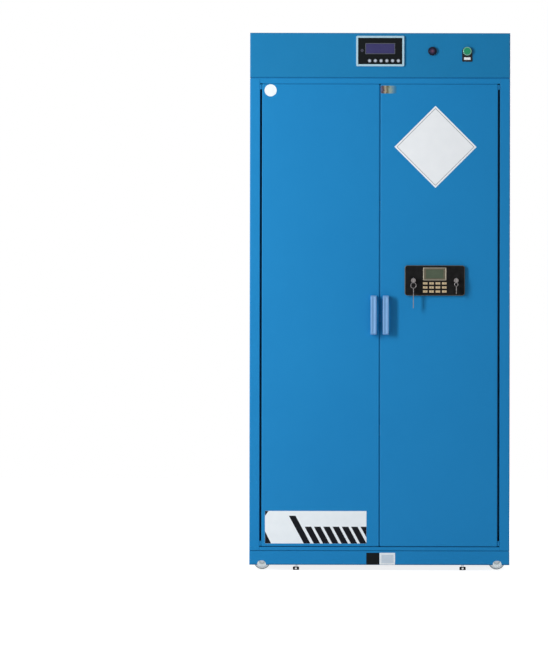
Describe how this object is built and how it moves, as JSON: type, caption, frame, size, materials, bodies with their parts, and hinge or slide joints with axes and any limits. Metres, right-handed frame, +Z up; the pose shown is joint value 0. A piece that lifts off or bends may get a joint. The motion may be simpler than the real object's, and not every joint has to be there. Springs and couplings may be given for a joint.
{
  "type": "chemical storage cabinet",
  "caption": "Tall steel cabinet for chemicals with hinged double doors, keypad and key locks, pull handles, spill-tray shelves, a filter fan header with controls, casters and feet.",
  "frame": {"origin": "middle of the floor contact plane, centred on the overall width and depth", "axes": "+X to the right as seen from the front, +Y to the back, +Z up; the doors face -Y"},
  "size_m": [0.9, 0.546, 1.86],
  "materials": {
    "blue_paint": "satin powder coat",
    "shelf_paint": "satin powder coat",
    "handle_blue": "satin lavender blue",
    "lock_black": "satin black",
    "key_cream": "satin",
    "controller_silver": "satin",
    "button_white": "satin",
    "lamp_red": "clear red lens on a black body",
    "bezel_silver": "bright ring on a black body",
    "cap_green": "gloss",
    "bright_steel": "polished",
    "zinc_steel": "zinc plated",
    "seal_rubber": "matt",
    "fan_black": "matt",
    "filter_grey": "matt",
    "wheel_grey": "satin",
    "foot_black": "black pad on a steel stud"
  },
  "bodies": {
    "cabinet": {"side_panel_left": "blue_paint", "side_panel_right": "blue_paint", "back_panel": "blue_paint", "ceiling_panel": "blue_paint", "floor_pan": "blue_paint", "header_front": "blue_paint", "header_cover": "blue_paint", "plinth": "blue_paint", "shelf_1": "shelf_paint", "shelf_2": "shelf_paint", "shelf_3": "shelf_paint", "shelf_supports": "zinc_steel", "fan_housing": "fan_black", "carbon_filter": "filter_grey", "controller_case": "controller_silver", "alarm_lamp": "lamp_red", "switch_bezel": "bezel_silver", "caster_brackets": "zinc_steel", "frame_hinges": "blue_paint", "power_inlet": "fan_black", "door_seal": "seal_rubber"},
    "door_left": {"door_left_skin": "blue_paint", "door_left_liner": "blue_paint", "handle_left": "handle_blue"},
    "door_right": {"door_right_skin": "blue_paint", "door_right_liner": "blue_paint", "handle_right": "handle_blue", "lock_body": "lock_black"},
    "lock_key_1": {"lock_key_1": "key_cream"},
    "lock_key_2": {"lock_key_2": "key_cream"},
    "lock_key_3": {"lock_key_3": "key_cream"},
    "lock_key_4": {"lock_key_4": "key_cream"},
    "lock_key_5": {"lock_key_5": "key_cream"},
    "lock_key_6": {"lock_key_6": "key_cream"},
    "lock_key_7": {"lock_key_7": "key_cream"},
    "lock_key_8": {"lock_key_8": "key_cream"},
    "lock_key_9": {"lock_key_9": "key_cream"},
    "lock_key_10": {"lock_key_10": "key_cream"},
    "lock_key_11": {"lock_key_11": "key_cream"},
    "lock_key_12": {"lock_key_12": "key_cream"},
    "controller_button_1": {"controller_button_1": "button_white"},
    "controller_button_2": {"controller_button_2": "button_white"},
    "controller_button_3": {"controller_button_3": "button_white"},
    "controller_button_4": {"controller_button_4": "button_white"},
    "controller_button_5": {"controller_button_5": "button_white"},
    "controller_button_6": {"controller_button_6": "button_white"},
    "power_button": {"power_button": "cap_green"},
    "lock_bolt": {"lock_bolt": "zinc_steel"},
    "key_left": {"key_left": "bright_steel"},
    "key_right": {"key_right": "bright_steel"},
    "spare_key_left": {"spare_key_left": "bright_steel"},
    "spare_key_right": {"spare_key_right": "bright_steel"},
    "fan_rotor": {"fan_rotor": "fan_black"},
    "caster_fork_left": {"caster_fork_left": "zinc_steel"},
    "caster_fork_right": {"caster_fork_right": "zinc_steel"},
    "caster_wheel_left": {"caster_wheel_left": "wheel_grey"},
    "caster_wheel_right": {"caster_wheel_right": "wheel_grey"},
    "rear_wheels": {"rear_wheels": "wheel_grey"},
    "foot_left": {"foot_left": "foot_black"},
    "foot_right": {"foot_right": "foot_black"}
  },
  "joints": [
    {"name": "door_left_hinge", "type": "hinge", "parent": "cabinet", "child": "door_left", "pos_m": [-0.4115, -0.228, 0.084], "axis": [0, 0, -1], "range_deg": [0, 110]},
    {"name": "door_right_hinge", "type": "hinge", "parent": "cabinet", "child": "door_right", "pos_m": [0.4115, -0.228, 0.084], "axis": [0, 0, 1], "range_deg": [0, 110]},
    {"name": "bolt_slide", "type": "slide", "parent": "door_right", "child": "lock_bolt", "axis": [-1, 0, 0], "range_m": [0, 0.015]},
    {"name": "key_left_turn", "type": "hinge", "parent": "door_right", "child": "key_left", "pos_m": [0.116, -0.2445, 1.004], "axis": [0, 1, 0], "range_deg": [0, 90.5]},
    {"name": "key_right_turn", "type": "hinge", "parent": "door_right", "child": "key_right", "pos_m": [0.264, -0.2445, 1.004], "axis": [0, 1, 0], "range_deg": [0, 90]},
    {"name": "spare_key_left_swing", "type": "hinge", "parent": "key_left", "child": "spare_key_left", "pos_m": [0.116, -0.262, 0.9963], "axis": [-1, 0, 0], "range_deg": [-8, 40]},
    {"name": "spare_key_right_swing", "type": "hinge", "parent": "key_right", "child": "spare_key_right", "pos_m": [0.264, -0.262, 0.9963], "axis": [-1, 0, 0], "range_deg": [-8, 40]},
    {"name": "power_button_press", "type": "slide", "parent": "cabinet", "child": "power_button", "axis": [0, 1, 0], "range_m": [0, 0.0035], "stiffness_N_per_m": 600},
    {"name": "fan_spin", "type": "hinge", "parent": "cabinet", "child": "fan_rotor", "pos_m": [-0.15, 0.2503, 1.7825], "axis": [0, 1, 0], "continuous": true},
    {"name": "rear_axle_roll", "type": "hinge", "parent": "cabinet", "child": "rear_wheels", "pos_m": [0, 0.2005, 0.029], "axis": [1, 0, 0], "continuous": true},
    {"name": "caster_left_swivel", "type": "hinge", "parent": "cabinet", "child": "caster_fork_left", "pos_m": [-0.3875, -0.1515, 0.0607], "axis": [0, 0, 1], "continuous": true},
    {"name": "caster_left_roll", "type": "hinge", "parent": "caster_fork_left", "child": "caster_wheel_left", "pos_m": [-0.4075, -0.1515, 0.0295], "axis": [0, 1, 0], "continuous": true},
    {"name": "foot_left_adjust", "type": "slide", "parent": "cabinet", "child": "foot_left", "axis": [0, 0, -1], "range_m": [0, 0.01]},
    {"name": "caster_right_swivel", "type": "hinge", "parent": "cabinet", "child": "caster_fork_right", "pos_m": [0.3875, -0.1515, 0.0607], "axis": [0, 0, 1], "continuous": true},
    {"name": "caster_right_roll", "type": "hinge", "parent": "caster_fork_right", "child": "caster_wheel_right", "pos_m": [0.4075, -0.1515, 0.0295], "axis": [0, 1, 0], "continuous": true},
    {"name": "foot_right_adjust", "type": "slide", "parent": "cabinet", "child": "foot_right", "axis": [0, 0, -1], "range_m": [0, 0.01]},
    {"name": "lock_key_1_press", "type": "slide", "parent": "door_right", "child": "lock_key_1", "axis": [0, 1, 0], "range_m": [0, 0.0015], "stiffness_N_per_m": 400},
    {"name": "lock_key_2_press", "type": "slide", "parent": "door_right", "child": "lock_key_2", "axis": [0, 1, 0], "range_m": [0, 0.0015], "stiffness_N_per_m": 400},
    {"name": "lock_key_3_press", "type": "slide", "parent": "door_right", "child": "lock_key_3", "axis": [0, 1, 0], "range_m": [0, 0.0015], "stiffness_N_per_m": 400},
    {"name": "lock_key_4_press", "type": "slide", "parent": "door_right", "child": "lock_key_4", "axis": [0, 1, 0], "range_m": [0, 0.0015], "stiffness_N_per_m": 400},
    {"name": "lock_key_5_press", "type": "slide", "parent": "door_right", "child": "lock_key_5", "axis": [0, 1, 0], "range_m": [0, 0.0015], "stiffness_N_per_m": 400},
    {"name": "lock_key_6_press", "type": "slide", "parent": "door_right", "child": "lock_key_6", "axis": [0, 1, 0], "range_m": [0, 0.0015], "stiffness_N_per_m": 400},
    {"name": "lock_key_7_press", "type": "slide", "parent": "door_right", "child": "lock_key_7", "axis": [0, 1, 0], "range_m": [0, 0.0015], "stiffness_N_per_m": 400},
    {"name": "lock_key_8_press", "type": "slide", "parent": "door_right", "child": "lock_key_8", "axis": [0, 1, 0], "range_m": [0, 0.0015], "stiffness_N_per_m": 400},
    {"name": "lock_key_9_press", "type": "slide", "parent": "door_right", "child": "lock_key_9", "axis": [0, 1, 0], "range_m": [0, 0.0015], "stiffness_N_per_m": 400},
    {"name": "lock_key_10_press", "type": "slide", "parent": "door_right", "child": "lock_key_10", "axis": [0, 1, 0], "range_m": [0, 0.0015], "stiffness_N_per_m": 400},
    {"name": "lock_key_11_press", "type": "slide", "parent": "door_right", "child": "lock_key_11", "axis": [0, 1, 0], "range_m": [0, 0.0015], "stiffness_N_per_m": 400},
    {"name": "lock_key_12_press", "type": "slide", "parent": "door_right", "child": "lock_key_12", "axis": [0, 1, 0], "range_m": [0, 0.0015], "stiffness_N_per_m": 400},
    {"name": "controller_button_1_press", "type": "slide", "parent": "cabinet", "child": "controller_button_1", "axis": [0, 1, 0], "range_m": [0, 0.001], "stiffness_N_per_m": 400},
    {"name": "controller_button_2_press", "type": "slide", "parent": "cabinet", "child": "controller_button_2", "axis": [0, 1, 0], "range_m": [0, 0.001], "stiffness_N_per_m": 400},
    {"name": "controller_button_3_press", "type": "slide", "parent": "cabinet", "child": "controller_button_3", "axis": [0, 1, 0], "range_m": [0, 0.001], "stiffness_N_per_m": 400},
    {"name": "controller_button_4_press", "type": "slide", "parent": "cabinet", "child": "controller_button_4", "axis": [0, 1, 0], "range_m": [0, 0.001], "stiffness_N_per_m": 400},
    {"name": "controller_button_5_press", "type": "slide", "parent": "cabinet", "child": "controller_button_5", "axis": [0, 1, 0], "range_m": [0, 0.001], "stiffness_N_per_m": 400},
    {"name": "controller_button_6_press", "type": "slide", "parent": "cabinet", "child": "controller_button_6", "axis": [0, 1, 0], "range_m": [0, 0.001], "stiffness_N_per_m": 400}
  ],
  "couplings": [
    {"joint": "key_left_turn", "follows": "bolt_slide", "rad_per_m": 104.72}
  ]
}
